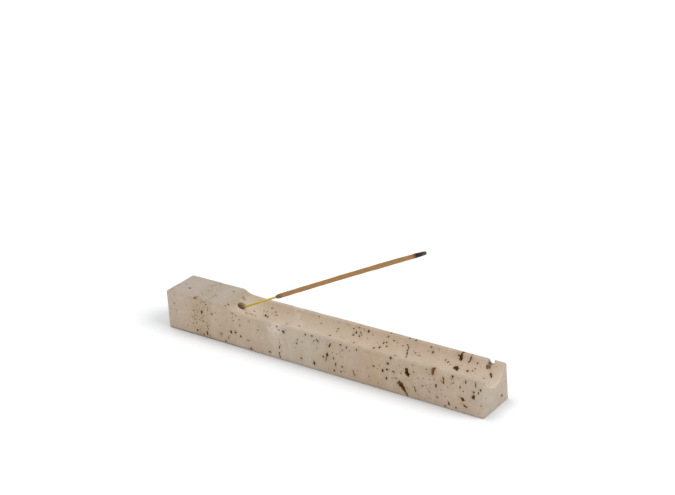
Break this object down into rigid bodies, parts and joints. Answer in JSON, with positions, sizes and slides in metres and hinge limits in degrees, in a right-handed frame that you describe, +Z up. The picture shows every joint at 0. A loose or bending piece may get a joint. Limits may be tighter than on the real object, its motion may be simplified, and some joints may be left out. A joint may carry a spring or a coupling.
{
  "type": "incense burner",
  "caption": "Travertine bar with a solid head, a round-bottomed ash groove open at the far end, and a slanted socket holding a leaning incense stick.",
  "frame": {"origin": "middle of the bar's base, on the surface it stands on", "axes": "+X along the bar from the solid head towards the open end of the groove, +Y across the bar to the back, +Z up"},
  "size_m": [0.25, 0.028, 0.0933],
  "materials": {
    "travertine": "honed, unfilled, matt",
    "dyed_bamboo": "dyed yellow, split bamboo, low sheen",
    "incense_paste": "rolled wood powder paste, dry and matt",
    "charred_paste": "burnt, crumbly, matt"
  },
  "bodies": {
    "stone": {"stone_body": "travertine"},
    "stick": {"bamboo_core": "dyed_bamboo", "incense_coat": "incense_paste", "charred_tip": "charred_paste"}
  },
  "joints": [
    {"name": "stick_pull", "type": "slide", "parent": "stone", "child": "stick", "axis": [0.8973, 0, 0.4415], "range_m": [0, 0.04]}
  ]
}
